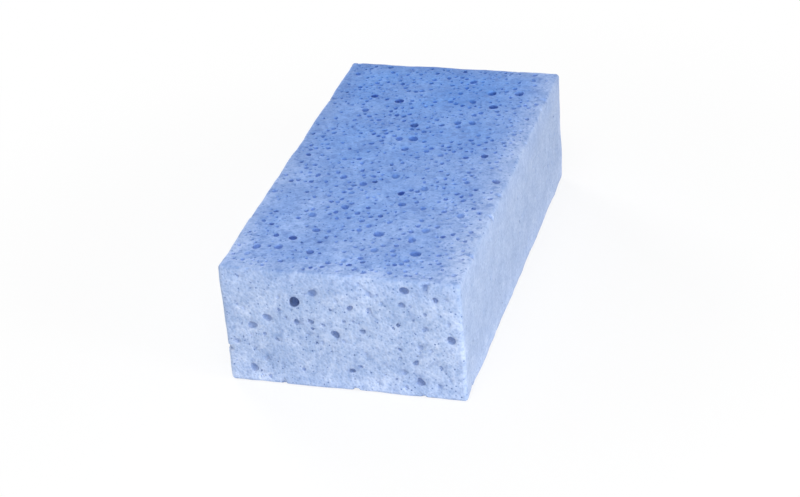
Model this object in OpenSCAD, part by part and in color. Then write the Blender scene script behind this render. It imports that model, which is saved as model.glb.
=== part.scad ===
// A cleaning sponge: one block of open-cell foam, sawn from a larger slab.
// It lies on its broad face. The front end looks towards -Y, +Z is up, and the
// origin is under the middle of the block. All sizes are in millimetres.

/* [Block] */
// Width of the block, left to right
block_w = 110; // [80:1:140]
// Length of the block, front end to back end
block_l = 210; // [150:1:260]
// Height of the block as it lies
block_h = 60; // [45:1:80]
// Radius to which the sawn edges have softened
edge_r = 1.8; // [1:0.1:2.6]

/* [Single pores] */
// Opening of the widest pores
wide_d = 4.7; // [4.1:0.1:5.6]
// Opening of the middling pores
middle_d = 3.8; // [3.3:0.1:4.4]
// Opening of the narrow pores
narrow_d = 2.8; // [2.4:0.1:3.2]
// Opening of the smallest pores that still show one by one
small_d = 2; // [1.7:0.1:2.3]

/* [Fine pores] */
// Opening of the smallest fine pores
fine_min_d = 1.4; // [1:0.1:1.8]
// Opening of the largest fine pores
fine_max_d = 3; // [2:0.1:3.4]
// Spacing of the fine pores on the top
top_pitch = 8; // [7:0.5:16]
// Spacing of the pores on the underside
under_pitch = 11; // [9:0.5:20]
// Spacing of the pores on the back end and the left side
side_pitch = 13; // [10:0.5:20]
// Spacing of the few pores on the smooth right side
smooth_pitch = 19; // [14:0.5:30]
// Least wall of foam that is left between two pores
wall = 0.6; // [0.4:0.1:1]

/* [Nicked edges] */
// Average distance between the pores that the edges cut through
nick_pitch = 34; // [24:1:60]
// How far the deepest of them bites into an edge
nick_bite = 1.3; // [0.6:0.1:1.8]

/* [Hidden] */

$fn = 16; // a bubble or a softened edge in the preview
cut_past = 2; // how far a cutting outline runs past the block

// Where a bubble's centre lies under the surface that opened it, as a share of
// its radius: a sunk one leaves an undercut pocket, a raised one a shallow dish.
deep = 0.6;
even = 0.15;
dish = -0.5;

// Pores of the front end: percent across from the left, percent down from the
// upper edge, opening, depth.
front_pores = [
  [31, 26, wide_d, deep],
  [95, 47, middle_d, even],
  [47, 51, middle_d, even],
  [77, 8, middle_d, even],
  [81, 86, middle_d, even],
  [39, 17, middle_d, dish],
  [12, 49, middle_d, dish],
  [10.5, 87, middle_d, dish],
  [19, 41, middle_d, dish],
  [56, 95, middle_d, dish],
  [37, 42, narrow_d, even],
  [54, 27, narrow_d, even],
  [79.5, 70, narrow_d, even],
  [52.5, 81.5, narrow_d, even],
  [31, 43, narrow_d, even],
  [85.5, 3.5, narrow_d, even],
  [89.5, 14, narrow_d, even],
  [58.5, 46, narrow_d, even],
  [75.5, 20, narrow_d, even],
  [84.5, 40, narrow_d, dish],
  [82, 56, narrow_d, dish],
  [62, 28, narrow_d, dish],
  [62.5, 13.5, narrow_d, dish],
  [4.5, 65, narrow_d, dish],
  [74.5, 79, narrow_d, dish],
  [89, 88, narrow_d, dish],
  [73.5, 38, small_d, deep],
  [42, 44, small_d, even],
  [51, 39, small_d, even],
  [56, 77, small_d, even],
  [73.5, 59, small_d, even],
  [75, 92, small_d, even],
  [90, 72, small_d, even],
  [17, 56, small_d, even],
  [22, 60, small_d, even],
  [84.5, 27, small_d, even],
  [32, 84, small_d, even],
  [17, 93.5, small_d, even],
  [50.5, 56, small_d, dish],
  [11, 58, small_d, dish],
  [73, 67, small_d, dish],
  [12, 70, small_d, dish],
  [94, 13, small_d, dish],
  [9, 34.5, small_d, dish],
  [63, 91, small_d, dish],
  [94.5, 34, small_d, dish],
  [93.5, 82, small_d, dish],
  [67.5, 20, small_d, dish],
  [16.5, 77.5, small_d, dish],
  [58.5, 6, small_d, dish],
  [24.5, 22.5, small_d, dish],
  [48.5, 22, small_d, dish],
  [86.5, 58, small_d, dish],
  [59, 65, small_d, dish],
  [41, 59, small_d, dish],
  [35.5, 54, small_d, dish]
];

// Pores of the top: percent across from the left, percent towards the front
// from the back edge, opening, depth.
top_pores = [
  [33.5, 20, wide_d, deep],
  [74, 13, wide_d, deep],
  [86.5, 12.5, wide_d, deep],
  [77.5, 20, wide_d, deep],
  [46.5, 31.5, wide_d, deep],
  [49.5, 38.5, wide_d, even],
  [57.5, 82, wide_d, even],
  [76.5, 89, wide_d, even],
  [48.5, 43.5, middle_d, deep],
  [57.5, 64, middle_d, deep],
  [95, 56, middle_d, deep],
  [84.5, 44.5, middle_d, deep],
  [62.5, 7.5, middle_d, deep],
  [21, 18, middle_d, deep],
  [23.5, 86.5, middle_d, deep],
  [34, 91.5, middle_d, deep],
  [11, 91, middle_d, even],
  [20, 90.5, middle_d, even],
  [60.5, 69, middle_d, even],
  [29, 58.5, middle_d, even],
  [43.5, 39, middle_d, even],
  [31, 82.5, middle_d, even],
  [67, 18, middle_d, even],
  [72, 83.5, middle_d, even],
  [39, 61, middle_d, even],
  [37.5, 72, middle_d, even],
  [20.5, 25.5, middle_d, even],
  [72, 29, middle_d, even],
  [65.5, 29.5, middle_d, even],
  [51, 56.5, middle_d, dish],
  [25.5, 76, middle_d, dish],
  [59.5, 89, middle_d, dish],
  [66.5, 61.5, middle_d, dish],
  [76, 79.5, middle_d, dish],
  [87, 72, middle_d, dish],
  [43.5, 59.5, narrow_d, deep],
  [54, 74.5, narrow_d, deep],
  [47.5, 77, narrow_d, deep],
  [36, 27, narrow_d, deep],
  [7.5, 49, narrow_d, deep],
  [55.5, 92.5, narrow_d, even],
  [74.5, 92, narrow_d, even],
  [79, 70.5, narrow_d, even],
  [58.5, 44, narrow_d, even],
  [71, 25, narrow_d, even],
  [65.5, 45.5, narrow_d, even],
  [24, 28.5, narrow_d, even],
  [13, 38, narrow_d, even],
  [51.5, 79, narrow_d, even],
  [59.5, 14, narrow_d, even],
  [32.5, 42, narrow_d, even],
  [52.5, 34.5, narrow_d, even],
  [59.5, 77, narrow_d, even],
  [85, 65.5, narrow_d, even],
  [70, 70, narrow_d, even],
  [49.5, 94, narrow_d, dish],
  [9, 94, narrow_d, dish],
  [36.5, 65.5, narrow_d, dish]
];

// A repeatable scatter: the digits that follow a large multiple of a sine. The
// place n in a list and the choice k, such as its size or its shift, set the angle.
scatter_step = 127.1;
scatter_turn = 311.7;
scatter_gain = 4375.85;
function chance(n, k) =
  let (v = scatter_gain * (1 + sin(n * scatter_step + k * scatter_turn)))
  v - floor(v);

// Each of these lists holds [across, along, opening, depth], measured from the
// middle of its face.
function placed(rows, w, l) = [
  for (p = rows) [(p[0] / 100 - 0.5) * w, (0.5 - p[1] / 100) * l, p[2], p[3]]
];

function is_clear(p, others) =
  len([for (q = others) if (norm([p[0] - q[0], p[1] - q[1]]) < (p[2] + q[2]) / 2 + wall) 1]) == 0;

// One pore in most cells of a grid, moved about inside its cell and kept clear
// of the single pores. Each row of cells is shifted along itself by its own
// amount, and what runs out at one end comes in again at the other.
function scattered(w, l, pitch, least_d, large_d, least_depth, filled, seed, others) =
  let (
    margin = edge_r + wall,
    nx = max(1, floor((w - 2 * margin) / pitch)),
    ny = max(1, floor((l - 2 * margin) / pitch)),
    span = w - 2 * margin,
    cell_w = span / nx,
    cell_l = (l - 2 * margin) / ny
  ) [
    for (i = [0 : nx - 1], j = [0 : ny - 1])
      let (
        n = seed + i * ny + j,
        d = least_d + (large_d - least_d) * pow(chance(n, 1), small_bias),
        shift = (chance(n, 2) - 0.5) * (cell_w - d - wall) + chance(seed + j, 6) * span,
        run = (i + 0.5) * cell_w + shift,
        x = run - span * floor(run / span) - span / 2,
        y = (j + 0.5 - ny / 2) * cell_l + (chance(n, 3) - 0.5) * (cell_l - d - wall),
        pore = [x, y, d, least_depth + (deep - least_depth) * chance(n, 4)],
        inside = abs(x) + d / 2 <= span / 2
      )
      if (chance(n, 5) < filled && inside && is_clear(pore, others)) pore
  ];

small_bias = 2; // above 1, small pores outnumber large ones
broad_filled = 0.8; // share of the cells that hold a pore
side_filled = 0.7;
smooth_filled = 0.5;

// Where each face and each row of nicked edges starts in the scatter.
top_seed = 0;
under_seed = 1000;
back_seed = 2000;
left_seed = 3000;
right_seed = 4000;
long_seed = 5000;
cross_seed = 6000;
upright_seed = 7000;
seed_step = 50; // from one edge of a row to the next

front_list = placed(front_pores, block_w, block_h);
top_single = placed(top_pores, block_w, block_l);
top_list = concat(
  top_single,
  scattered(block_w, block_l, top_pitch, fine_min_d, fine_max_d, even, broad_filled, top_seed, top_single)
);
bottom_list =
  scattered(block_w, block_l, under_pitch, fine_min_d, middle_d, even, broad_filled, under_seed, []);
back_list =
  scattered(block_w, block_h, side_pitch, fine_min_d, wide_d, dish, side_filled, back_seed, []);
left_list =
  scattered(block_l, block_h, side_pitch, fine_min_d, narrow_d, dish, side_filled, left_seed, []);
right_list =
  scattered(block_l, block_h, smooth_pitch, fine_min_d, fine_max_d, dish, smooth_filled, right_seed, []);

// A bubble that the surface at z = 0 cuts open.
module pore(opening, depth) {
  r = opening / 2 / sqrt(1 - depth * depth);
  translate([0, 0, -depth * r])
    sphere(r = r);
}

module pores(list) {
  for (p = list)
    translate([p[0], p[1], 0])
      pore(p[2], p[3]);
}

least_bite = 0.4; // the shallowest nick, as a share of the deepest

// Bubbles cut through by one edge that runs along X and is centred on the
// origin. Each bites into the softened corner by its own amount.
module nicks(length, seed) {
  count = max(1, floor(length / nick_pitch));
  step = length / count;
  corner_gap = edge_r * (sqrt(2) - 1);
  for (i = [0 : count - 1]) {
    bite = nick_bite * (least_bite + (1 - least_bite) * chance(seed + i, 1));
    shift = (chance(seed + i, 2) - 0.5) * (step - 2 * (corner_gap + nick_bite) - wall);
    aside = (chance(seed + i, 3) - 0.5) * nick_bite;
    below = (chance(seed + i, 4) - 0.5) * nick_bite;
    translate([(i + 0.5 - count / 2) * step + shift, aside, below])
      sphere(r = corner_gap + bite);
  }
}

module rounded_rectangle(w, h, r) {
  square([w - 2 * r, h], center = true);
  square([w, h - 2 * r], center = true);
  for (x = [-1, 1], y = [-1, 1])
    translate([x * (w / 2 - r), y * (h / 2 - r)])
      circle(r = r);
}

// Three softened outlines, each run right through the block, leave all twelve
// edges round.
module block() {
  translate([0, 0, block_h / 2])
    intersection() {
      linear_extrude(block_h + cut_past, center = true)
        rounded_rectangle(block_w, block_l, edge_r);
      rotate([90, 0, 0])
        linear_extrude(block_l + cut_past, center = true)
          rounded_rectangle(block_w, block_h, edge_r);
      rotate([90, 0, 90])
        linear_extrude(block_w + cut_past, center = true)
          rounded_rectangle(block_l, block_h, edge_r);
    }
}

// Every face has its own pores, and the edges have theirs.
module all_pores() {
  translate([0, 0, block_h])
    pores(top_list);
  rotate([180, 0, 0])
    pores(bottom_list);
  translate([0, -block_l / 2, block_h / 2])
    rotate([90, 0, 0])
      pores(front_list);
  translate([0, block_l / 2, block_h / 2])
    rotate([90, 0, 180])
      pores(back_list);
  translate([block_w / 2, 0, block_h / 2])
    rotate([90, 0, 90])
      pores(right_list);
  translate([-block_w / 2, 0, block_h / 2])
    rotate([90, 0, -90])
      pores(left_list);
}

module all_nicks() {
  for (x = [-1, 1], z = [0, 1])
    translate([x * block_w / 2, 0, z * block_h])
      rotate([0, 0, 90])
        nicks(block_l, long_seed + seed_step * (2 * x + 2 + z));
  for (y = [-1, 1], z = [0, 1])
    translate([0, y * block_l / 2, z * block_h])
      nicks(block_w, cross_seed + seed_step * (2 * y + 2 + z));
  for (x = [-1, 1], y = [-1, 1])
    translate([x * block_w / 2, y * block_l / 2, block_h / 2])
      rotate([0, 90, 0])
        nicks(block_h, upright_seed + seed_step * (2 * x + 2 + y));
}

module sponge() {
  color("cornflowerblue")
    difference() {
      block();
      all_pores();
      all_nicks();
    }
}

sponge();
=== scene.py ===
import math

import bmesh
import bpy
import numpy as np
from mathutils import Matrix, Vector
from mathutils.geometry import delaunay_2d_cdt


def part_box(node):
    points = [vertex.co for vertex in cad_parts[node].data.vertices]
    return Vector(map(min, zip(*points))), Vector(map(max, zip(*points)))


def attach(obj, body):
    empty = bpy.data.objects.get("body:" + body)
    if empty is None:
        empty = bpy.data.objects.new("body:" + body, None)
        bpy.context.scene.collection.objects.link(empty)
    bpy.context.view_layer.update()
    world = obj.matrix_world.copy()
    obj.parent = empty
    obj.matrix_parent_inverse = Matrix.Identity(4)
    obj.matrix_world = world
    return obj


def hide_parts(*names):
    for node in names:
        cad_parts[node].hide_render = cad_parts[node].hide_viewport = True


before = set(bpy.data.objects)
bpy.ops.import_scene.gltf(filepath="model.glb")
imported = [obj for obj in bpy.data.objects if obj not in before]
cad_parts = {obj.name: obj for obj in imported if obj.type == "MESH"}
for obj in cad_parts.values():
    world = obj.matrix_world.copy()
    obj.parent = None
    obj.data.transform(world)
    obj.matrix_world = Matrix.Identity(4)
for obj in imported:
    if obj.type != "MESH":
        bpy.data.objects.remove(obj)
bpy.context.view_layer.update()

print("frame loaded:", sorted(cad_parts))

mm = 0.001  # the mesh is worked out in millimetres and written in metres
tiny = 1e-9  # keeps a division by a length of nothing from failing

# The block and its pores, in millimetres. The first group repeats the CAD source, so that every pore that
# is cut there is cut here at the same place. The second is for the look alone.
sponge = {
    "edgeRadius": 1.8,
    "wide": 4.7,  # four openings
    "middle": 3.8,
    "narrow": 2.8,
    "small": 2.0,
    "deep": 0.6,  # three depths: where a bubble's centre lies under the skin, as a share of its radius
    "even": 0.15,
    "dish": -0.5,
    "fineMin": 1.4,
    "fineMax": 3.0,
    "topPitch": 8.0,
    "underPitch": 11.0,
    "sidePitch": 13.0,
    "smoothPitch": 19.0,
    "wall": 0.6,  # least foam between two pores
    "smallBias": 2.0,  # above 1, small pores outnumber large ones
    "broadFilled": 0.8,
    "sideFilled": 0.7,
    "smoothFilled": 0.5,
    "nickPitch": 34.0,
    "nickBite": 1.3,
    "leastBite": 0.4,
    # for the look alone
    "seed": 21,
    "speckMin": 0.9,  # smallest of the pores that lie between those of the CAD source
    "speckBias": 1.6,
    "speckThrows": 6,
    "thinnest": 0.62,  # share of them that stays, on average, and how much that varies across a face
    "thicker": 0.25,
    "thickWaves": [[0.11, 0.07], [-0.06, 0.13], [0.19, -0.15]],  # radians a millimetre, across and along
    "thickPhases": [2, 0],  # phases of the last two waves; that of the first is the face's own seed
    "oval": 0.27,  # most that an opening departs from a circle, at twice and at three times the angle
    "threeSided": 0.17,
    "lean": 0.16,  # how far a pocket leans, as a share of its depth
    "swell": 0.14,  # how far the sawn faces wander, over what length, in how many waves, and their seed
    "swellLength": 26.0,
    "swellWaves": 14,
    "swellSeed": 5,
    "ripple": 0.05,
    "rippleLength": 7.5,
    "rippleWaves": 18,
    "rippleSeed": 6,
    "waveSpread": [0.7, 1.5],  # shortest and longest of those waves, as shares of the length
    "paleOpening": 1.0,  # openings at which the wall of a pore has no painted shade and has it at its darkest
    "darkOpening": 5.4,
    "deepPale": 1.4,  # how much less painted shade the wall has with the depth of the pore, on the broad faces
    "rimDark": 0.8,  # how dark the painted shade at the rim of a pore is, as a share of that at its bottom, and how deep the bottom lies
    "fullDepth": 4.0,
    "nickFade": 2.2,  # how far down a nick its painted shade is darkest, and how dark it is there
    "nickDark": 0.8,
    "acrossMin": 1.2,  # smallest pore that is cut across an edge
    "lipShare": 0.1,  # the soft lip of an opening: its width is a share of the radius and a little more
    "lipWidth": 0.14,
    "lipRoom": 0.25,  # but no more than this share of the foam up to the next pore
    "lipDrop": 0.09,  # how far the lip falls, as a share of the radius
    "arcSteps": 5,  # faces round a softened edge
    "edgeStep": 2.0,  # spacing of the points along an edge
    "leastStep": 0.3,
    "nickNear": 3.0,  # a bubble that lies this near an edge, in edge radii, gets closer points along it
    "nickPoints": 9,  # how many points, and how far they reach, in its own radii
    "nickReach": 1.25,
    "plainStep": 4.2,  # spacing of the plain points on the flat faces, and the share that each may move
    "plainJitter": 0.3,
    "plainGap": 0.8,  # their distance from anything else, and how much more from a pore, in its radii
    "plainMore": 0.3,
    "sheetGap": 1e-5,  # points nearer than this are one: in a flat sheet, and in the whole mesh
    "mergeGap": 0.001,
}

# Single pores of the front end and of the top, as in the CAD source: percent across from the left,
# percent down from the upper or far edge, opening, depth.
frontPores = [
    [31, 26, "wide", "deep"],
    [95, 47, "middle", "even"],
    [47, 51, "middle", "even"],
    [77, 8, "middle", "even"],
    [81, 86, "middle", "even"],
    [39, 17, "middle", "dish"],
    [12, 49, "middle", "dish"],
    [10.5, 87, "middle", "dish"],
    [19, 41, "middle", "dish"],
    [56, 95, "middle", "dish"],
    [37, 42, "narrow", "even"],
    [54, 27, "narrow", "even"],
    [79.5, 70, "narrow", "even"],
    [52.5, 81.5, "narrow", "even"],
    [31, 43, "narrow", "even"],
    [85.5, 3.5, "narrow", "even"],
    [89.5, 14, "narrow", "even"],
    [58.5, 46, "narrow", "even"],
    [75.5, 20, "narrow", "even"],
    [84.5, 40, "narrow", "dish"],
    [82, 56, "narrow", "dish"],
    [62, 28, "narrow", "dish"],
    [62.5, 13.5, "narrow", "dish"],
    [4.5, 65, "narrow", "dish"],
    [74.5, 79, "narrow", "dish"],
    [89, 88, "narrow", "dish"],
    [73.5, 38, "small", "deep"],
    [42, 44, "small", "even"],
    [51, 39, "small", "even"],
    [56, 77, "small", "even"],
    [73.5, 59, "small", "even"],
    [75, 92, "small", "even"],
    [90, 72, "small", "even"],
    [17, 56, "small", "even"],
    [22, 60, "small", "even"],
    [84.5, 27, "small", "even"],
    [32, 84, "small", "even"],
    [17, 93.5, "small", "even"],
    [50.5, 56, "small", "dish"],
    [11, 58, "small", "dish"],
    [73, 67, "small", "dish"],
    [12, 70, "small", "dish"],
    [94, 13, "small", "dish"],
    [9, 34.5, "small", "dish"],
    [63, 91, "small", "dish"],
    [94.5, 34, "small", "dish"],
    [93.5, 82, "small", "dish"],
    [67.5, 20, "small", "dish"],
    [16.5, 77.5, "small", "dish"],
    [58.5, 6, "small", "dish"],
    [24.5, 22.5, "small", "dish"],
    [48.5, 22, "small", "dish"],
    [86.5, 58, "small", "dish"],
    [59, 65, "small", "dish"],
    [41, 59, "small", "dish"],
    [35.5, 54, "small", "dish"],
]
topPores = [
    [33.5, 20, "wide", "deep"],
    [74, 13, "wide", "deep"],
    [86.5, 12.5, "wide", "deep"],
    [77.5, 20, "wide", "deep"],
    [46.5, 31.5, "wide", "deep"],
    [49.5, 38.5, "wide", "even"],
    [57.5, 82, "wide", "even"],
    [76.5, 89, "wide", "even"],
    [48.5, 43.5, "middle", "deep"],
    [57.5, 64, "middle", "deep"],
    [95, 56, "middle", "deep"],
    [84.5, 44.5, "middle", "deep"],
    [62.5, 7.5, "middle", "deep"],
    [21, 18, "middle", "deep"],
    [23.5, 86.5, "middle", "deep"],
    [34, 91.5, "middle", "deep"],
    [11, 91, "middle", "even"],
    [20, 90.5, "middle", "even"],
    [60.5, 69, "middle", "even"],
    [29, 58.5, "middle", "even"],
    [43.5, 39, "middle", "even"],
    [31, 82.5, "middle", "even"],
    [67, 18, "middle", "even"],
    [72, 83.5, "middle", "even"],
    [39, 61, "middle", "even"],
    [37.5, 72, "middle", "even"],
    [20.5, 25.5, "middle", "even"],
    [72, 29, "middle", "even"],
    [65.5, 29.5, "middle", "even"],
    [51, 56.5, "middle", "dish"],
    [25.5, 76, "middle", "dish"],
    [59.5, 89, "middle", "dish"],
    [66.5, 61.5, "middle", "dish"],
    [76, 79.5, "middle", "dish"],
    [87, 72, "middle", "dish"],
    [43.5, 59.5, "narrow", "deep"],
    [54, 74.5, "narrow", "deep"],
    [47.5, 77, "narrow", "deep"],
    [36, 27, "narrow", "deep"],
    [7.5, 49, "narrow", "deep"],
    [55.5, 92.5, "narrow", "even"],
    [74.5, 92, "narrow", "even"],
    [79, 70.5, "narrow", "even"],
    [58.5, 44, "narrow", "even"],
    [71, 25, "narrow", "even"],
    [65.5, 45.5, "narrow", "even"],
    [24, 28.5, "narrow", "even"],
    [13, 38, "narrow", "even"],
    [51.5, 79, "narrow", "even"],
    [59.5, 14, "narrow", "even"],
    [32.5, 42, "narrow", "even"],
    [52.5, 34.5, "narrow", "even"],
    [59.5, 77, "narrow", "even"],
    [85, 65.5, "narrow", "even"],
    [70, 70, "narrow", "even"],
    [49.5, 94, "narrow", "dish"],
    [9, 94, "narrow", "dish"],
    [36.5, 65.5, "narrow", "dish"],
]

low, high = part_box("sponge")
sides = (np.array(high) - np.array(low)) / mm
width, length, height = sides.tolist()
middle = np.array([0.0, 0.0, height / 2])

# Each face: its middle, the ways across and along it, and its size across and along.
faces = {
    "top": [(0, 0, height), (1, 0, 0), (0, 1, 0), width, length],
    "bottom": [(0, 0, 0), (1, 0, 0), (0, -1, 0), width, length],
    "front": [(0, -length / 2, height / 2), (1, 0, 0), (0, 0, 1), width, height],
    "back": [(0, length / 2, height / 2), (-1, 0, 0), (0, 0, 1), width, height],
    "left": [(-width / 2, 0, height / 2), (0, -1, 0), (0, 0, 1), length, height],
    "right": [(width / 2, 0, height / 2), (0, 1, 0), (0, 0, 1), length, height],
}
singlePores = {"top": topPores, "front": frontPores}

# Scattered pores, as in the CAD source: spacing, smallest and largest opening, least depth, share of the
# cells that hold one, and where the face starts in the scatter.
scatterRules = {
    "top": ["topPitch", "fineMin", "fineMax", "even", "broadFilled", 0],
    "bottom": ["underPitch", "fineMin", "middle", "even", "broadFilled", 1000],
    "back": ["sidePitch", "fineMin", "wide", "dish", "sideFilled", 2000],
    "left": ["sidePitch", "fineMin", "narrow", "dish", "sideFilled", 3000],
    "right": ["smoothPitch", "fineMin", "fineMax", "dish", "smoothFilled", 4000],
}

# Smaller pores between them: average spacing and largest opening.
specks = {
    "top": [5.2, 2.6],
    "bottom": [7.0, 2.4],
    "front": [12.0, 1.6],
    "back": [11.0, 1.6],
    "left": [11.0, 1.6],
    "right": [15.0, 1.6],
}

# Bubbles that the edges cut, as in the CAD source. For each axis that edges run along: the two axes across
# it, where its edges start in the scatter, and where along, aside and below point in a row of bubbles.
nickRules = [
    [1, (0, 2), 5000, [(0, 1, 0), (-1, 0, 0), (0, 0, 1)]],
    [0, (1, 2), 6000, [(1, 0, 0), (0, 1, 0), (0, 0, 1)]],
    [2, (0, 1), 7000, [(0, 0, -1), (0, 1, 0), (1, 0, 0)]],
]
seedStep = 50  # from one edge to the next in the scatter
chanceRule = {"step": 127.1, "turn": 311.7, "gain": 4375.85}


# The CAD source's scatter: the digits that follow a large multiple of a sine in degrees.
def chance(n, k):
    angle = np.mod(np.asarray(n, float) * chanceRule["step"] + k * chanceRule["turn"], 360.0)
    value = chanceRule["gain"] * (1.0 + np.sin(np.radians(angle)))
    return value - np.floor(value)


# Rows of percents become [across, along, opening, depth] in millimetres from the face's middle.
def placed(rows, faceWidth, faceLength):
    found = []
    for across, down, opening, depth in rows:
        place = [(across / 100 - 0.5) * faceWidth, (0.5 - down / 100) * faceLength]
        found.append(place + [sponge[opening], sponge[depth]])
    return np.array(found).reshape(-1, 4)


# Foam between each of these pores and each of the others: the distance less both radii.
def foamBetween(pores, others):
    apart = np.hypot(pores[:, None, 0] - others[None, :, 0], pores[:, None, 1] - others[None, :, 1])
    return apart - (pores[:, None, 2] + others[None, :, 2]) / 2


# One pore in most cells of a grid: the cell's middle, a scatter that keeps the pore inside its cell, and a
# shift of the whole row of cells. Those stay that leave a wall to the single pores.
def scattered(faceWidth, faceLength, pitch, smallest, largest, leastDepth, filled, seed, single):
    margin = sponge["edgeRadius"] + sponge["wall"]
    nx, ny = (max(1, math.floor((side - 2 * margin) / pitch)) for side in (faceWidth, faceLength))
    span = faceWidth - 2 * margin
    cellWidth, cellLength = span / nx, (faceLength - 2 * margin) / ny
    i, j = (index.ravel() for index in np.meshgrid(np.arange(nx), np.arange(ny), indexing="ij"))
    n = seed + i * ny + j
    d = smallest + (largest - smallest) * chance(n, 1) ** sponge["smallBias"]
    shift = (chance(n, 2) - 0.5) * (cellWidth - d - sponge["wall"]) + chance(seed + j, 6) * span
    x = np.mod((i + 0.5) * cellWidth + shift, span) - span / 2
    y = (j + 0.5 - ny / 2) * cellLength + (chance(n, 3) - 0.5) * (cellLength - d - sponge["wall"])
    pores = np.column_stack([x, y, d, leastDepth + (sponge["deep"] - leastDepth) * chance(n, 4)])
    isInside = abs(x) + d / 2 <= span / 2
    isClear = (foamBetween(pores, single) >= sponge["wall"]).all(axis=1)
    return pores[(chance(n, 5) < filled) & isInside & isClear]


# All the pores of one face that the CAD source has.
def cutPores(name):
    faceWidth, faceLength = faces[name][3:]
    single = placed(singlePores.get(name, []), faceWidth, faceLength)
    if name not in scatterRules:
        return single
    *keys, seed = scatterRules[name]
    rule = [sponge[key] for key in keys]
    return np.vstack([single, scattered(faceWidth, faceLength, *rule, seed, single)])


# Pores thrown at random, more in some places than in others: of each throw those stay that leave a wall
# to the pores before them. Where they lie thicker is a sum of three sines across the face.
def thrown(faceWidth, faceLength, pitch, largest, seed, others):
    pick = np.random.default_rng(seed)
    margin = sponge["edgeRadius"] + sponge["wall"]
    room = np.array([faceWidth, faceLength]) - 2 * margin
    goal = int(faceWidth * faceLength / pitch ** 2)
    smallest, shallowest = sponge["speckMin"], sponge["even"]
    phases = [seed] + sponge["thickPhases"]
    found = np.zeros((0, 4))
    for throw in range(sponge["speckThrows"]):
        d = smallest + (largest - smallest) * pick.random(goal) ** sponge["speckBias"]
        place = (pick.random((goal, 2)) - 0.5) * (room - d[:, None])
        depth = shallowest + (sponge["deep"] - shallowest) * pick.random(goal)
        waves = sum(np.sin(place @ rate + phase) for rate, phase in zip(sponge["thickWaves"], phases))
        stays = pick.random(goal) < sponge["thinnest"] + sponge["thicker"] * waves
        new = np.column_stack([place, d, depth])[stays]
        new = new[(foamBetween(new, np.vstack([others, found])) >= sponge["wall"]).all(axis=1)]
        isTight = np.tril(foamBetween(new, new) < sponge["wall"], -1).any(axis=1)
        found = np.vstack([found, new[~isTight]])[:goal]
    return found


# Centre and radius of the bubbles that the twelve edges cut: one in each step along an edge, moved about.
def edgeNicks():
    gap = sponge["edgeRadius"] * (math.sqrt(2) - 1)  # from the sharp corner to the softened edge
    bite = sponge["nickBite"]
    found = []
    for axis, (one, two), start, ways in nickRules:
        count = max(1, math.floor(sides[axis] / sponge["nickPitch"]))
        step = sides[axis] / count
        i = np.arange(count)
        for a in (-1, 1):
            for b in (-1, 1):
                turn = b if axis == 2 else (b + 1) / 2  # the CAD source counts up and down as 1 and 0
                n = start + seedStep * (2 * a + 2 + turn) + i
                shift = (chance(n, 2) - 0.5) * (step - 2 * (gap + bite) - sponge["wall"])
                along = (i + 0.5 - count / 2) * step + shift
                aside, below = (chance(n, 3) - 0.5) * bite, (chance(n, 4) - 0.5) * bite
                corner = middle.copy()
                corner[[one, two]] += np.array([a, b]) * sides[[one, two]] / 2
                radius = gap + bite * (sponge["leastBite"] + (1 - sponge["leastBite"]) * chance(n, 1))
                place = corner + np.column_stack([along, aside, below]) @ ways
                found.append(np.column_stack([place, radius]))
    return np.vstack(found)


nicks = edgeNicks()


# Stations along an edge: even steps, with closer ones where a bubble cuts the edge.
def edgeStations(axis, signs):
    across = [other for other in range(3) if other != axis]
    corner = middle[across] + np.array(signs) * sides[across] / 2
    isNear = np.hypot(*(nicks[:, across] - corner).T) < sponge["nickNear"] * sponge["edgeRadius"]
    half = sides[axis] / 2 - sponge["edgeRadius"]
    least = sponge["leastStep"]
    places = np.linspace(-half, half, max(2, round(2 * half / sponge["edgeStep"])) + 1)
    for cut in nicks[isNear]:
        at, reach = cut[axis] - middle[axis], sponge["nickReach"] * cut[3]
        close = np.linspace(at - reach, at + reach, sponge["nickPoints"])
        isKept = (abs(places - at) > reach + least) | (abs(places) > half - least)
        places = np.sort(np.concatenate([places[isKept], close[abs(close) < half - least]]))
    return places


edges = {(axis, a, b): edgeStations(axis, (a, b)) for axis in range(3) for a in (-1, 1) for b in (-1, 1)}
print("stations along the edges:", sum(len(places) for places in edges.values()))

rng = np.random.default_rng(sponge["seed"])
arc = np.linspace(0, math.pi / 2, sponge["arcSteps"] + 1)  # the quarter turn of a softened edge

# A surface is a list of its points, its triangles, and two values at each point: how much it belongs to a
# broad face, and how much painted shade it has, which grows down a pore.


# Joins surfaces into one: each one's triangles count on from the points before it.
def joined(surfaces):
    first = np.cumsum([0] + [len(points) for points, *others in surfaces[:-1]])
    counted = []
    for (points, triangles, tones, paintedShades), start in zip(surfaces, first):
        counted.append([points, triangles + start, tones, paintedShades])
    return [np.concatenate(parts) for parts in zip(*counted)]


# Two triangles for each cell of a grid of points; in a ring the last column is joined to the first.
def gridTriangles(rows, columns, isRing):
    index = np.arange(rows * columns).reshape(rows, columns)
    if isRing:
        index = np.column_stack([index, index[:, 0]])
    quads = [index[:-1, :-1], index[1:, :-1], index[1:, 1:], index[:-1, 1:]]
    quads = np.stack(quads, axis=-1).reshape(-1, 4)
    return np.concatenate([quads[:, [0, 1, 2]], quads[:, [0, 2, 3]]])


# Points measured across, along and out from a face's middle, in the block's own frame.
def toBlock(face, points):
    ways = np.array([face[1], face[2], np.cross(face[1], face[2])], float)
    return np.array(face[0], float) + points @ ways
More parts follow.
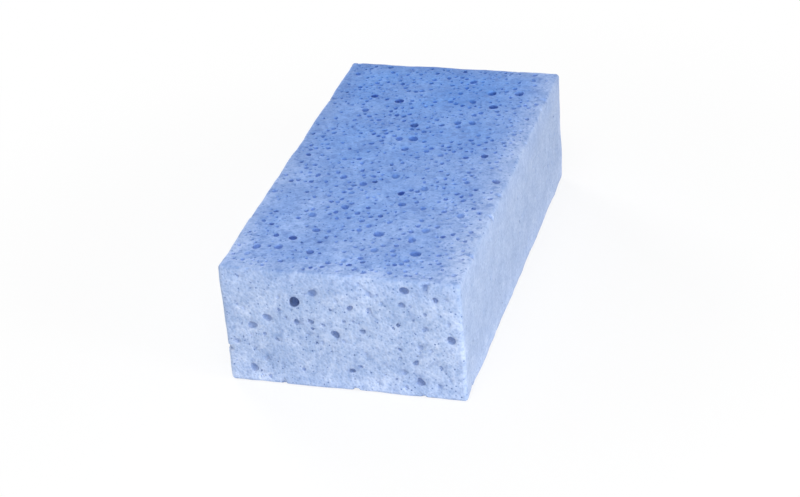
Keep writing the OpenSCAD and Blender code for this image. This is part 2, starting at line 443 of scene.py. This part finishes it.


# Painted shade on the wall of a pore: it grows with the opening, and from the rim down, in proportion. On
# the broad faces it falls with the depth of the pore, because a deep one there is dark enough by its real
# shade.
def paintedPoreShade(under, opening, depth, tone):
    pale, dark, rim = (sponge[key] for key in ("paleOpening", "darkOpening", "rimDark"))
    byOpening = np.clip((opening - pale) / (dark - pale), 0, 1)
    byDepth = 1 - sponge["deepPale"] * tone * np.maximum(depth, 0)
    fromRim = np.clip(under / sponge["fullDepth"], 0, 1)
    return byOpening * byDepth * (rim + (1 - rim) * fromRim)


# The flat part of a face, as its four sides in turn. It takes the stations of the edges that it meets.
def faceOutline(face):
    across, along = np.array(face[1]), np.array(face[2])
    outward = np.cross(across, along)
    u, v, n = (int(np.argmax(abs(way))) for way in (across, along, outward))
    halfU, halfV = (side / 2 - sponge["edgeRadius"] for side in face[3:])

    def sideStations(axis, way, other, otherSign):
        signs = sorted([(other, otherSign), (n, outward[n])])
        return np.sort(edges[(axis, signs[0][1], signs[1][1])] * way[axis])

    near, far = (sideStations(u, across, v, sign * along[v]) for sign in (-1, 1))
    left, right = (sideStations(v, along, u, sign * across[u]) for sign in (-1, 1))
    turn = [(near[:-1], -halfV), (halfU, right[:-1]), (far[:0:-1], halfV), (-halfU, left[:0:-1])]
    return np.concatenate([np.column_stack(np.broadcast_arrays(*side)) for side in turn]), halfU, halfV


# Openings: a circle whose radius swings a little with twice and three times the angle, and less so where
# another pore is close.
def openings(pores, free, around):
    turn = rng.uniform(0, 2 * math.pi, (2, len(pores), 1))
    most = np.array([sponge["oval"], sponge["threeSided"]])[:, None, None]
    swing = np.minimum(rng.uniform(0, most, turn.shape), most * (free / pores[:, 2])[:, None])
    theta = 2 * math.pi * np.arange(around) / around + turn[0]
    return theta, 1 + swing[0] * np.cos(2 * theta - turn[1]) + swing[1] * np.cos(3 * theta - turn[0])


# Pockets: rings that go down a ball from its opening to its far side, where they close in one point. Each
# leans a little and follows its opening's outline less and less. The first ring lies on the skin.
def pockets(face, pores, theta, shape, skin, rings, tone):
    across, along, opening, depth = (pores[:, k, None, None] for k in range(4))
    rim = opening / 2
    radius = rim / np.sqrt(1 - depth ** 2)
    step = np.arange(rings + 1)[:, None] / rings
    angle = np.arccos(depth) + (math.pi - np.arccos(depth)) * step
    fall = radius * (np.cos(angle) - depth) - sponge["lipDrop"] * rim
    out = radius * np.sin(angle) * (1 + (shape[:, None] - 1) * (1 - step ** 2))
    lean = rng.normal(0, sponge["lean"], (2, len(pores), 1, 1)) * fall
    x = across + out * np.cos(theta[:, None]) + lean[0]
    y = along + out * np.sin(theta[:, None]) + lean[1]
    wall = np.stack(np.broadcast_arrays(x, y, fall), axis=-1)
    down = np.concatenate([skin[:, None], wall], axis=1)
    dark = np.broadcast_to(paintedPoreShade(-fall, opening, depth, tone), down[:, 1:, :, 0].shape)
    dark = np.concatenate([np.zeros_like(dark[:, :1]), dark], axis=1).ravel()
    around = theta.shape[1]
    one = gridTriangles(rings + 2, around, True)
    triangles = one + np.arange(len(pores))[:, None, None] * (rings + 2) * around
    return [toBlock(face, down.reshape(-1, 3)), triangles.reshape(-1, 3), np.full(len(dark), tone), dark]


# Plain points between the pores, on a jittered grid, so that the sawn face can swell.
def plainPoints(pores, halfU, halfV):
    step = sponge["plainStep"]
    u, v = np.meshgrid(np.arange(-halfU + step / 2, halfU, step), np.arange(-halfV + step / 2, halfV, step))
    jitter = sponge["plainJitter"]
    plain = np.column_stack([u.ravel(), v.ravel()]) + rng.uniform(-jitter, jitter, (u.size, 2)) * step
    asPores = np.column_stack([plain, np.zeros(len(plain))])
    gap = sponge["plainGap"]
    isFree = (foamBetween(asPores, pores) > gap + sponge["plainMore"] * pores[:, 2] / 2).all(axis=1)
    isWithin = (abs(plain) < np.array([halfU, halfV]) - gap).all(axis=1)
    return plain[isFree & isWithin]


# Pores by size: openings from and up to, points round one, rings down it.
poreClasses = [[0.0, 1.5, 8, 2], [1.5, 2.2, 10, 3], [2.2, 3.0, 13, 4], [3.0, 9.0, 18, 5]]


# One face: a flat sheet of triangles with a hole for each opening, and a pocket under each hole.
def faceSurface(face, pores, tone):
    outline, halfU, halfV = faceOutline(face)
    free = foamBetween(pores, pores)
    np.fill_diagonal(free, sponge["wide"])
    free = free.min(axis=1)  # foam between each pore and its nearest neighbour
    sheet, rings, under = [outline], [np.arange(len(outline))[None]], []
    for least, most, around, down in poreClasses:
        isOfClass = (pores[:, 2] >= least) & (pores[:, 2] < most)
        some = pores[isOfClass]
        theta, shape = openings(some, free[isOfClass], around)
        radius = some[:, 2:3] / 2 * shape
        lip = sponge["lipShare"] * radius + sponge["lipWidth"]
        radius += np.minimum(lip, sponge["lipRoom"] * free[isOfClass][:, None])
        x, y = some[:, :1] + radius * np.cos(theta), some[:, 1:2] + radius * np.sin(theta)
        skin = np.stack([x, y, np.zeros_like(x)], axis=-1)
        rings.append(sum(len(part) for part in sheet) + np.arange(theta.size).reshape(theta.shape))
        sheet.append(skin[:, :, :2].reshape(-1, 2))
        under.append(pockets(face, some, theta, shape, skin, down, tone))
    sheet.append(plainPoints(pores, halfU, halfV))
    sheet = np.concatenate(sheet)
    links = [np.stack([ring, np.roll(ring, -1, axis=1)], axis=-1).reshape(-1, 2) for ring in rings]
    links, places = np.concatenate(links).tolist(), [Vector(place) for place in sheet.tolist()]
    made = delaunay_2d_cdt(places, links, [], 0, sponge["sheetGap"], True)
    triangles = np.array([source[0] for source in made[3]])[np.array(made[2])]

    # a triangle that joins three points of one opening, in the opening's own order, would close it
    owner = np.full(len(sheet), -1)
    for group in rings[1:]:
        owner[group] = group[:, :1]
    a, b, c = triangles.T
    isHole = (owner[a] >= 0) & (owner[a] == owner[b]) & (owner[b] == owner[c])
    isHole &= (a < b).astype(int) + (b < c) + (c < a) == 2
    flat = toBlock(face, np.column_stack([sheet, np.zeros(len(sheet))]))
    return joined([[flat, triangles[~isHole], np.full(len(flat), tone), np.zeros(len(flat))]] + under)


# A softened edge: a quarter circle carried along the edge's stations.
def edgeSurface(axis, signs, places):
    r = sponge["edgeRadius"]
    across = [other for other in range(3) if other != axis]
    grid = np.zeros((len(places), len(arc), 3))
    grid[:, :, axis] = places[:, None]
    for other, sign, swing in zip(across, signs, (np.cos(arc), np.sin(arc))):
        grid[:, :, other] = sign * (sides[other] / 2 - r + r * swing)
    rise = np.sin(arc) if axis != 2 else np.zeros(len(arc))
    tone = np.broadcast_to(rise ** 2, grid.shape[:2]).ravel()
    points = (grid + middle).reshape(-1, 3)
    return [points, gridTriangles(len(places), len(arc), False), tone, np.zeros(len(points))]


# A softened corner: an eighth of a ball, by its angle of height and its turn.
def cornerSurface(signs):
    lift, turn = np.meshgrid(arc, arc, indexing="ij")
    ball = [np.cos(lift) * np.cos(turn), np.cos(lift) * np.sin(turn), np.sin(lift)]
    ball = np.stack(ball, axis=-1).reshape(-1, 3)
    r = sponge["edgeRadius"]
    points = (sides / 2 - r + r * ball) * np.array(signs) + middle
    return [points, gridTriangles(len(arc), len(arc), False), ball[:, 2] ** 2, np.zeros(len(points))]


# Outward direction of the softened block at each point of its skin: away from the block that is left when
# the edge radius is taken off every side.
def skinNormals(points):
    core = sides / 2 - sponge["edgeRadius"]
    out = points - middle - np.clip(points - middle, -core, core)
    return out / np.maximum(np.linalg.norm(out, axis=1, keepdims=True), tiny)


# Bubbles cut into the skin: each point inside one moves in along the skin's normal to its far side, and
# gets painted shade by how far it moved.
def bitten(points, paintedShades, bubbles):
    onSkin = paintedShades == 0
    normals = skinNormals(points)
    for bubble in bubbles:
        offset = points - bubble[:3]
        isHit = onSkin & ((offset ** 2).sum(axis=1) < bubble[3] ** 2)
        offset, inward = offset[isHit], normals[isHit]
        facing = (offset * inward).sum(axis=1)
        push = facing + np.sqrt(facing ** 2 + bubble[3] ** 2 - (offset ** 2).sum(axis=1))
        points[isHit] -= push[:, None] * inward
        paintedShades[isHit] = np.maximum(paintedShades[isHit], np.clip(push / sponge["nickFade"], 0, sponge["nickDark"]))
    return points, paintedShades


# A smooth field of three parts: the sum of sine waves that run in random directions.
def wander(points, waveLength, waves, seed):
    pick = np.random.default_rng(seed)
    way = pick.normal(size=(waves, 3))
    way /= np.linalg.norm(way, axis=1, keepdims=True)
    rate = 2 * math.pi / (waveLength * pick.uniform(*sponge["waveSpread"], waves))
    phase = pick.uniform(0, 2 * math.pi, (3, 1, waves))
    return np.sin(points @ (way * rate[:, None]).T + phase).sum(axis=2).T / math.sqrt(waves / 2)


# The block's whole skin: six faces, twelve edges and eight corners. A pore that lies across an edge is cut
# as a bubble there.
def spongeSurface():
    surfaces, bubbles = [], list(nicks)
    for seed, (name, face) in enumerate(faces.items()):
        cut = cutPores(name)
        pitch, largest = specks[name]
        pores = np.vstack([cut, thrown(face[3], face[4], pitch, largest, seed, cut)])
        flat = np.array(face[3:]) / 2 - sponge["edgeRadius"]
        reach = pores[:, 2:3] / 2 * (1 + sponge["oval"]) + sponge["wall"] / 2
        isInside = (abs(pores[:, :2]) + reach < flat).all(axis=1)
        for x, y, opening, depth in pores[~isInside & (pores[:, 2] > sponge["acrossMin"])]:
            radius = opening / 2 / math.sqrt(1 - depth ** 2)
            bubbles.append([*toBlock(face, np.array([x, y, -depth * radius])), radius])
        tone = 1.0 if name in ("top", "bottom") else 0.0
        surfaces.append(faceSurface(face, pores[isInside], tone))
        print(name, len(cut), "pores of the frame's source and", len(pores) - len(cut), "smaller ones")
    signs = [(a, b) for a in (-1, 1) for b in (-1, 1)]
    surfaces += [edgeSurface(axis, (a, b), places) for (axis, a, b), places in edges.items()]
    surfaces += [cornerSurface((a, b, c)) for a, b in signs for c in (-1, 1)]
    points, triangles, tones, paintedShades = joined(surfaces)
    points, paintedShades = bitten(points, paintedShades, bubbles)
    swell = wander(points, sponge["swellLength"], sponge["swellWaves"], sponge["swellSeed"])
    ripple = wander(points, sponge["rippleLength"], sponge["rippleWaves"], sponge["rippleSeed"])
    points = points + sponge["swell"] * swell + sponge["ripple"] * ripple
    points[:, 2] = np.maximum(points[:, 2], 0.0)  # it lies on a flat surface
    return points, triangles, tones, paintedShades


# The mesh and its object. Besides the two values of a surface, each point keeps its distance to the nearest
# edge of the block: the middle one of its distances to the faces.
def spongeObject():
    points, triangles, tones, paintedShades = spongeSurface()
    edgeGap = np.sort(sides / 2 - abs(points - middle), axis=1)[:, 1]
    mesh = bpy.data.meshes.new("spongeBlock")
    mesh.from_pydata((points * mm).tolist(), [], triangles.tolist())
    for attribute, values in (("broadFace", tones), ("poreShade", paintedShades), ("edgeGap", edgeGap)):
        layer = mesh.attributes.new(attribute, "FLOAT", "POINT")
        layer.data.foreach_set("value", values.astype(np.float32))
    work = bmesh.new()
    work.from_mesh(mesh)
    bmesh.ops.remove_doubles(work, verts=work.verts, dist=sponge["mergeGap"] * mm)
    bmesh.ops.recalc_face_normals(work, faces=work.faces)
    openEdges = sum(1 for edge in work.edges if not edge.is_manifold)
    litres = round(work.calc_volume() * 1000, 3)
    print("sponge:", len(work.faces), "triangles,", openEdges, "open edges,", litres, "litres")
    work.to_mesh(mesh)
    work.free()
    mesh.shade_smooth()
    block = bpy.data.objects.new("spongeBlock", mesh)
    bpy.context.scene.collection.objects.link(block)
    return block


block = spongeObject()


# sRGB hex to linear colour, by the standard's straight foot and power curve.
def colour(text):
    parts = [int(text[i:i + 2], 16) / 255 for i in (0, 2, 4)]
    return [c / 12.92 if c <= 0.04045 else ((c + 0.055) / 1.055) ** 2.4 for c in parts] + [1.0]


# Adds a node with its settings. An input that is given a socket is linked to it, and any other is set.
def node(tree, kind, settings, inputs):
    made = tree.nodes.new(kind)
    for key, value in settings.items():
        setattr(made, key, value)
    for key, value in inputs.items():
        if isinstance(value, bpy.types.NodeSocket):
            tree.links.new(value, made.inputs[key])
        else:
            made.inputs[key].default_value = value
    return made


foam = {
    "broad": "5f92e1",  # top and underside, a deeper blue
    "paleByLight": "a9c0ec",  # the same, paled by painted light
    "side": "a7bce2",  # sawn sides, paler
    "rubbedAndLit": "b9cdf2",  # pale: rubbed on the sides' edges, painted light on the broad faces' near and right edges and at the sides' foot; and painted shade on the broad faces' other edges
    "paintedEdgeShade": "6482be",
    "broadPoreShade": "4873c2",  # painted shade deep in the pores of the broad faces, and of the sides
    "sidePoreShade": "4866a6",
    "paintedLight": 0.5,  # how much painted light pales them at the near end
    "rightLight": 0.3,  # how much further at the right edge, over this many millimetres
    "rightWidth": 32.0,
    "paintedLightSwing": 0.1,  # how far the painted light varies from place to place
    "rubAndLightFrom": 0.5,  # millimetres from the edge where the rubbing, and the painted light and shade of the edges, start to fall off
    "broadEdgeLightShadeWidth": 14.0,  # where it ends, and its strength at the edge: on the broad faces, where it is painted light and shade, and on the sides, where it is rubbing
    "broadEdgeLightShade": 0.5,
    "sideRubWidth": 11.0,
    "sideRub": 0.5,
    "leastRubAndLight": 0.5,  # where the rubbing and the painted edge light and shade are least, as a share of where they are most
    "footHeight": 18.0,  # the sides: how high the painted light from the floor reaches up their foot, and how pale it makes them
    "foot": 0.7,
    "runHeight": 16.0,  # how far the dye has run down them from the top, and how much of it
    "run": 0.3,
    # noises that make something uneven: size and detail
    "noises": {"paintedLight": [24.0, 1.0], "rubAndEdgeLight": [14.0, 3.0], "dapple": [3.4, 1.5], "wall": [1.2, 3.0]},
    "clouds": [[14.0, 3.0, 0.11], [5.6, 2.0, 0.09], [2.1, 3.0, 0.12]],  # blotches: size, detail, swing
    "sideCloud": 0.65,  # how strong they are on the long sides, as a share of the other faces
    "endReach": [2.5, 1.2],  # millimetres from an end over which its own look begins
    "tint": [1.35, 1.0, 0.6],  # how red, green and blue share in all shading: what is darker is bluer
    "cell": 1.3,  # size of the cut cells, drawn about twice the real one so that they show
    "cellReach": [0.1, 0.6],  # from the middle of a cell to its walls, as a share of its size
    "cellShade": [-0.1, 0.08],  # how much darker painted shade makes its middle, and how much paler its walls are
    "cellDepth": 0.5,  # relief of the cells in millimetres, and its strength
    "cellRelief": 0.5,
    "pinhole": 2.1,  # spacing of the painted pinholes between the pores, and their radius
    "pinholeSize": 0.4,
    "pinholeRim": [0.6, 1.4],  # over which part of the radius a pinhole fades out
    "dappleReach": [0.52, 0.7],  # the part of their noise that the dapples take up, and how dark their painted shade is
    "dappleDark": 0.48,
    "endDapple": 0.6,  # how strong they are on the two ends, as a share of the broad faces
    "wallSwing": [0.78, 1.12],  # how far the painted shade on the wall of a pore varies
    "deepFrom": 0.05,  # the least painted shade that shows, and how much of the pores' shade colour the darkest place has
    "deepest": 0.95,
    "finish": {"Roughness": 0.92, "IOR": 1.45, "Specular IOR Level": 0.25, "Sheen Weight": 0.15,
               "Sheen Roughness": 0.6},
}
lowNoise, highNoise = 0.3, 0.7  # nearly all of a noise lies between these

# settings that many nodes share
smooth = {"interpolation_type": "SMOOTHSTEP"}
ofColour = {"data_type": "RGBA"}
plus = {"operation": "ADD"}
times = {"operation": "MULTIPLY"}
larger = {"operation": "MAXIMUM"}


# Shades a colour by a pattern: its red, green and blue are multiplied by one and a swing, which goes from
# one bound to the other as the pattern does.
def shaded(tree, base, pattern, reach, swing):
    least, most = ([1 + bound * share for share in foam["tint"]] for bound in swing)
    share = node(tree, "ShaderNodeMapRange", {}, {0: pattern, 1: reach[0], 2: reach[1], 3: 0.0, 4: 1.0})
    shade = node(tree, "ShaderNodeMix", {"data_type": "VECTOR"}, {0: share.outputs[0], 4: least, 5: most})
    return node(tree, "ShaderNodeVectorMath", times, {0: base, 1: shade.outputs[1]}).outputs[0]


# Cellulose foam: an open-cell sponge, dyed in the mass and sawn from a slab. It looks chalky and pale on
# the sawn sides, deeper blue on the top and underside, and darker in the pores by painted shade, with no
# gloss.
def foamMaterial():
    material = bpy.data.materials.new("dyedCelluloseFoam")
    material.use_nodes = True
    tree = material.node_tree
    tree.nodes.clear()
    where = node(tree, "ShaderNodeTexCoord", {}, {}).outputs["Object"]
    axes = node(tree, "ShaderNodeSeparateXYZ", {}, {0: where}).outputs
    broad = node(tree, "ShaderNodeAttribute", {"attribute_name": "broadFace"}, {}).outputs["Fac"]
    # the painted shade of the pores and nicks, kept at each point
    depth = node(tree, "ShaderNodeAttribute", {"attribute_name": "poreShade"}, {}).outputs["Fac"]
    gap = node(tree, "ShaderNodeAttribute", {"attribute_name": "edgeGap"}, {}).outputs["Fac"]

    # noises of four sizes, which make the painted light, the edges, the dapples and the pore walls uneven
    noises = {}
    for name, (size, detail) in foam["noises"].items():
        noise = node(tree, "ShaderNodeTexNoise", {},
                     {"Vector": where, "Scale": 1 / (size * mm), "Detail": detail})
        noises[name] = noise.outputs["Fac"]

    # the broad faces: deepest at the far end, and paler towards the near end and the right edge by painted
    # light
    halfWidth, halfLength = width / 2 * mm, length / 2 * mm
    rightFrom = halfWidth - foam["rightWidth"] * mm
    near = node(tree, "ShaderNodeMapRange", {},
                {0: axes["Y"], 1: halfLength, 2: -halfLength, 3: 0.0, 4: 1.0}).outputs[0]
    nearLight = node(tree, "ShaderNodeMath", times, {0: near, 1: foam["paintedLight"]})
    rightLight = node(tree, "ShaderNodeMapRange", smooth,
                     {0: axes["X"], 1: rightFrom, 2: halfWidth, 3: 0.0, 4: foam["rightLight"]})
    paleByLight = node(tree, "ShaderNodeMath", plus, {0: nearLight.outputs[0], 1: rightLight.outputs[0]})
    swing = foam["paintedLightSwing"]
    uneven = node(tree, "ShaderNodeMapRange", {},
                  {0: noises["paintedLight"], 1: lowNoise, 2: highNoise, 3: -swing, 4: swing})
    paleByLight = node(tree, "ShaderNodeMath", plus, {0: paleByLight.outputs[0], 1: uneven.outputs[0]})
    dyedAndLit = node(tree, "ShaderNodeMix", ofColour,
                {0: paleByLight.outputs[0], 6: colour(foam["broad"]), 7: colour(foam["paleByLight"])})

    # their edges: a painted highlight at the near end and on the right, and a little painted shade
    # elsewhere
    rightward = node(tree, "ShaderNodeMapRange", {},
                     {0: axes["X"], 1: rightFrom, 2: halfWidth, 3: 0.0, 4: 1.0})
    nearOrRight = node(tree, "ShaderNodeMath", larger, {0: near, 1: rightward.outputs[0]})
    edge = node(tree, "ShaderNodeMix", ofColour,
                {0: nearOrRight.outputs[0], 6: colour(foam["paintedEdgeShade"]), 7: colour(foam["rubbedAndLit"])})
    patchy = node(tree, "ShaderNodeMapRange", {},
                  {0: noises["rubAndEdgeLight"], 1: lowNoise, 2: highNoise, 3: foam["leastRubAndLight"], 4: 1.0}).outputs[0]
    rubAndEdgeLight = node(tree, "ShaderNodeMapRange", smooth,
               {0: gap, 1: foam["rubAndLightFrom"], 2: foam["broadEdgeLightShadeWidth"], 3: foam["broadEdgeLightShade"], 4: 0.0})
    rubAndEdgeLight = node(tree, "ShaderNodeMath", times, {0: rubAndEdgeLight.outputs[0], 1: patchy})
    dyedAndLit = node(tree, "ShaderNodeMix", ofColour,
                {0: rubAndEdgeLight.outputs[0], 6: dyedAndLit.outputs[2], 7: edge.outputs[2]})

    # the sawn sides: paler at the foot by painted light from the floor, and rubbed along their edges other
    # than the one under the top
    foot = node(tree, "ShaderNodeMapRange", smooth,
                {0: axes["Z"], 1: 0.0, 2: foam["footHeight"] * mm, 3: foam["foot"], 4: 0.0})
    sawn = node(tree, "ShaderNodeMix", ofColour,
                {0: foot.outputs[0], 6: colour(foam["side"]), 7: colour(foam["rubbedAndLit"])})
    rubAndEdgeLight = node(tree, "ShaderNodeMapRange", smooth,
               {0: gap, 1: foam["rubAndLightFrom"], 2: foam["sideRubWidth"], 3: foam["sideRub"], 4: 0.0})
    rubAndEdgeLight = node(tree, "ShaderNodeMath", times, {0: rubAndEdgeLight.outputs[0], 1: patchy})
    topFrom, topAt = (height - foam["runHeight"]) * mm, height * mm
    lower = node(tree, "ShaderNodeMapRange", smooth, {0: axes["Z"], 1: topFrom, 2: topAt, 3: 1.0, 4: 0.0})
    rubAndEdgeLight = node(tree, "ShaderNodeMath", times, {0: rubAndEdgeLight.outputs[0], 1: lower.outputs[0]})
    sawn = node(tree, "ShaderNodeMix", ofColour,
                {0: rubAndEdgeLight.outputs[0], 6: sawn.outputs[2], 7: colour(foam["rubbedAndLit"])})

    # a little of the dye has run down the sides from the top
    run = node(tree, "ShaderNodeMapRange", smooth,
               {0: axes["Z"], 1: topFrom, 2: topAt, 3: 0.0, 4: foam["run"]})
    share = node(tree, "ShaderNodeMath", larger, {0: broad, 1: run.outputs[0]})
    base = node(tree, "ShaderNodeMix", ofColour,
                {0: share.outputs[0], 6: sawn.outputs[2], 7: dyedAndLit.outputs[2]}).outputs[2]

    # cloudiness of three sizes, from wide blotches down to a grain, and less of it on the long sides
    fromMiddle = node(tree, "ShaderNodeMath", {"operation": "ABSOLUTE"}, {0: axes["Y"]})
    endFrom, endAt = (halfLength - reach * mm for reach in foam["endReach"])
    ends = node(tree, "ShaderNodeMapRange", {},
                {0: fromMiddle.outputs[0], 1: endFrom, 2: endAt, 3: 0.0, 4: 1.0}).outputs[0]
    coarse = node(tree, "ShaderNodeMath", larger, {0: broad, 1: ends}).outputs[0]
    cloudy = node(tree, "ShaderNodeMapRange", {},
                  {0: coarse, 1: 0.0, 2: 1.0, 3: foam["sideCloud"], 4: 1.0}).outputs[0]
    for size, detail, swing in foam["clouds"]:
        noise = node(tree, "ShaderNodeTexNoise", {},
                     {"Vector": where, "Scale": 1 / (size * mm), "Detail": detail})
        cloud = node(tree, "ShaderNodeMix", {},
                     {0: cloudy, 2: (lowNoise + highNoise) / 2, 3: noise.outputs["Fac"]})
        base = shaded(tree, base, cloud.outputs[0], [lowNoise, highNoise], [-swing, swing])

    # the cut cells: painted shade makes their middles a little darker than their walls
    cells = node(tree, "ShaderNodeTexVoronoi", {}, {"Vector": where, "Scale": 1 / (foam["cell"] * mm)})
    base = shaded(tree, base, cells.outputs["Distance"], foam["cellReach"], foam["cellShade"])

    # pinholes: painted shade of holes that the mesh lacks, a round spot in each cell of a Voronoi pattern,
    # darker in some than in others
    spots = node(tree, "ShaderNodeTexVoronoi", {}, {"Vector": where, "Scale": 1 / (foam["pinhole"] * mm)})
    chances = node(tree, "ShaderNodeSeparateColor", {}, {0: spots.outputs["Color"]})
    radius = foam["pinholeSize"] / foam["pinhole"]
    inner, outer = (share * radius for share in foam["pinholeRim"])
    spot = node(tree, "ShaderNodeMapRange", {},
                {0: spots.outputs["Distance"], 1: inner, 2: outer, 3: 1.0, 4: 0.0})
    pinhole = node(tree, "ShaderNodeMath", times, {0: spot.outputs[0], 1: chances.outputs[0]})

    # dapples: painted shade of shallow hollows that the mesh lacks, on the broad faces and, less so, on the
    # two ends, seen as soft deeper spots
    least, most = foam["dappleReach"]
    hollow = node(tree, "ShaderNodeMapRange", smooth,
                  {0: noises["dapple"], 1: least, 2: most, 3: 0.0, 4: foam["dappleDark"]})
    endShare = node(tree, "ShaderNodeMath", times, {0: ends, 1: foam["endDapple"]})
    dappled = node(tree, "ShaderNodeMath", larger, {0: broad, 1: endShare.outputs[0]})
    dapple = node(tree, "ShaderNodeMath", times, {0: hollow.outputs[0], 1: dappled.outputs[0]})

    # painted shade on the walls of the pores and in the nicks, darker the further down they lie, joined by
    # that of the pinholes and dapples
    least, most = foam["wallSwing"]
    uneven = node(tree, "ShaderNodeMapRange", {},
                  {0: noises["wall"], 1: lowNoise, 2: highNoise, 3: least, 4: most})
    walls = node(tree, "ShaderNodeMath", times, {0: depth, 1: uneven.outputs[0]})
    deep = node(tree, "ShaderNodeMath", larger, {0: walls.outputs[0], 1: pinhole.outputs[0]})
    deep = node(tree, "ShaderNodeMath", larger, {0: deep.outputs[0], 1: dapple.outputs[0]})
    deep = node(tree, "ShaderNodeMapRange", {},
                {0: deep.outputs[0], 1: foam["deepFrom"], 2: 1.0, 3: 0.0, 4: foam["deepest"]})
    pore = node(tree, "ShaderNodeMix", ofColour,
                {0: broad, 6: colour(foam["sidePoreShade"]), 7: colour(foam["broadPoreShade"])})
    base = node(tree, "ShaderNodeMix", ofColour, {0: deep.outputs[0], 6: base, 7: pore.outputs[2]})

    relief = node(tree, "ShaderNodeBump", {},
                  {"Height": cells.outputs["Distance"], "Strength": foam["cellRelief"],
                   "Distance": foam["cellDepth"] * mm})
    shader = node(tree, "ShaderNodeBsdfPrincipled", {},
                  {"Base Color": base.outputs[2], "Normal": relief.outputs["Normal"], **foam["finish"]})
    node(tree, "ShaderNodeOutputMaterial", {}, {"Surface": shader.outputs["BSDF"]})
    return material


block.data.materials.append(foamMaterial())
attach(block, "root")
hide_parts("sponge")
print("foam material on")

# The floor, the sky and four soft lamps: where each lamp stands, what it points at, its width and power.
studio = {
    "floorSize": 4.0,
    "paper": (0.8, 0.8, 0.8, 1),  # the floor's colour to the sponge, and to the camera
    "white": (1, 1, 1, 1),
    "floorGlow": 0.8,  # how much of the floor's white is its own, close to the sponge
    "floorFade": [0.14, 0.34],  # metres from the middle over which the floor turns plain white
    "sky": 0.42,  # strength of the sky's light on the sponge
    "lamps": {
        "frontLamp": [(0.15, -0.58, 0.18), (0, -0.1, 0.02), 0.3, 0.7],
        "sideLamp": [(0.8, -0.3, 0.24), (0.05, 0, 0.03), 0.4, 2.9],
        "topLamp": [(0.1, -0.6, 1.05), (0, 0, 0.03), 0.8, 4.7],
        "backLamp": [(-0.8, 0.75, 0.3), (-0.03, 0.05, 0.03), 0.55, 7.6],
    },
}


# A pale floor. To the camera it is white, and it keeps the sponge's shadow.
def studioFloor():
    half = studio["floorSize"] / 2
    mesh = bpy.data.meshes.new("floor")
    corners = [(-half, -half, 0), (half, -half, 0), (half, half, 0), (-half, half, 0)]
    mesh.from_pydata(corners, [], [(0, 1, 2, 3)])
    floor = bpy.data.objects.new("floor", mesh)
    bpy.context.scene.collection.objects.link(floor)
    material = bpy.data.materials.new("whitePaper")
    material.use_nodes = True
    tree = material.node_tree
    tree.nodes.clear()
    seen = node(tree, "ShaderNodeLightPath", {}, {}).outputs["Is Camera Ray"]
    tint = node(tree, "ShaderNodeMix", ofColour, {0: seen, 6: studio["paper"], 7: studio["white"]})
    paper = node(tree, "ShaderNodeBsdfDiffuse", {}, {"Color": tint.outputs[2]})
    glow = node(tree, "ShaderNodeEmission", {}, {"Strength": 1.0})
    where = node(tree, "ShaderNodeTexCoord", {}, {}).outputs["Object"]
    far = node(tree, "ShaderNodeVectorMath", {"operation": "LENGTH"}, {0: where})
    least, most = studio["floorFade"]
    own = node(tree, "ShaderNodeMapRange", smooth,
               {0: far.outputs["Value"], 1: least, 2: most, 3: studio["floorGlow"], 4: 1.0})
    share = node(tree, "ShaderNodeMath", times, {0: seen, 1: own.outputs[0]})
    both = node(tree, "ShaderNodeMixShader", {},
                {0: share.outputs[0], 1: paper.outputs[0], 2: glow.outputs[0]})
    node(tree, "ShaderNodeOutputMaterial", {}, {"Surface": both.outputs[0]})
    mesh.materials.append(material)


# A plain sky: white to the camera, and softer as light.
def studioSky():
    world = bpy.data.worlds.new("studio")
    world.use_nodes = True
    tree = world.node_tree
    tree.nodes.clear()
    seen = node(tree, "ShaderNodeLightPath", {}, {}).outputs["Is Camera Ray"]
    strength = node(tree, "ShaderNodeMix", {}, {0: seen, 2: studio["sky"], 3: 1.0})
    sky = node(tree, "ShaderNodeBackground", {},
               {"Color": studio["white"], "Strength": strength.outputs[0]})
    node(tree, "ShaderNodeOutputWorld", {}, {"Surface": sky.outputs[0]})
    bpy.context.scene.world = world


# A round lamp that faces its target.
def softLamp(name, place, target, size, power):
    lamp = bpy.data.lights.new(name, "AREA")
    lamp.shape = "DISK"
    lamp.size = size
    lamp.energy = power
    holder = bpy.data.objects.new(name, lamp)
    holder.location = place
    holder.rotation_euler = (Vector(target) - Vector(place)).to_track_quat("-Z", "Y").to_euler()
    bpy.context.scene.collection.objects.link(holder)


studioFloor()
studioSky()
for name, settings in studio["lamps"].items():
    softLamp(name, *settings)
print("floor, sky and lamps set")

# The photograph's view: where the camera stands and what it looks at.
view = {
    "place": (0.2563, -0.8142, 0.5082),
    "target": (0.0054, -0.0292, 0.03),
    "lens": 91.5,  # its lens and the width of its film, in millimetres
    "film": 36.0,
    "lean": -4.67,  # how far it leans, in degrees about its line of sight
    "nearest": 0.01,  # the closest that it sees
}


# The camera looks at its target and leans about its line of sight.
def photoCamera():
    data = bpy.data.cameras.new("camera")
    data.lens = view["lens"]
    data.sensor_width = view["film"]
    data.clip_start = view["nearest"]
    camera = bpy.data.objects.new("camera", data)
    look = (Vector(view["target"]) - Vector(view["place"])).to_track_quat("-Z", "Y").to_matrix().to_4x4()
    lean = Matrix.Rotation(math.radians(view["lean"]), 4, "Z")
    camera.matrix_world = Matrix.Translation(view["place"]) @ look @ lean
    bpy.context.scene.collection.objects.link(camera)
    bpy.context.scene.camera = camera
    bpy.context.scene.view_settings.view_transform = "Standard"


photoCamera()
print("camera set")
